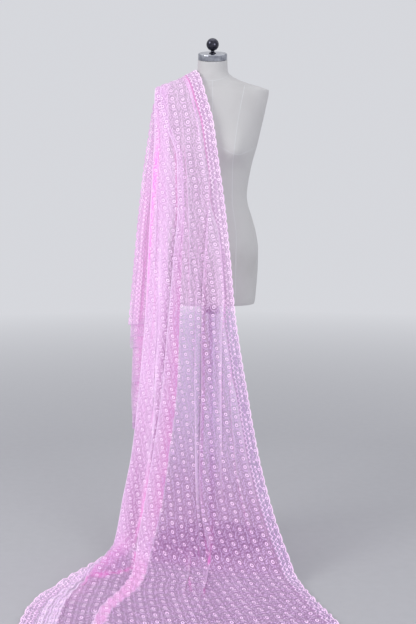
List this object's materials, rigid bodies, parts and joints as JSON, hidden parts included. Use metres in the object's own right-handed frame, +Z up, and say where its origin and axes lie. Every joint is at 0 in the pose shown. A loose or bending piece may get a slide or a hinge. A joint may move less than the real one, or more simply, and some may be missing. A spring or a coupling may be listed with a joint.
{
  "type": "dupatta stole on dress form stand",
  "caption": "Long sheer net stole with ring-flower embroidery and scalloped borders, hung over one shoulder of a limbless dress form on a round base, its front end trailing on the floor.",
  "frame": {"origin": "centre of the round base plate's underside, on the floor", "axes": "+Z up, +Y towards the back of the form, +X towards the form's bare shoulder; the form faces -Y and the stole hangs over its -X shoulder"},
  "size_m": [0.9295, 1.1185, 1.6795],
  "materials": {
    "net": "sheer pink net with pale embroidery",
    "border": "pale pink embroidered scallops",
    "canvas": "matte off-white canvas",
    "cap_chrome": "polished",
    "ball_chrome": "dark polished",
    "enamel": "satin black"
  },
  "bodies": {
    "root": {"border_left_back": "border", "border_left_front": "border", "border_left_train": "border", "border_right_back": "border", "border_right_front": "border", "border_right_train": "border", "form_finial": "ball_chrome", "form_neck_cap": "cap_chrome", "form_torso": "canvas", "stand_base": "enamel", "stand_collar": "enamel", "stand_knob": "enamel", "stand_pole": "enamel", "stole_back": "net", "stole_front": "net", "stole_train": "net"}
  },
  "joints": []
}
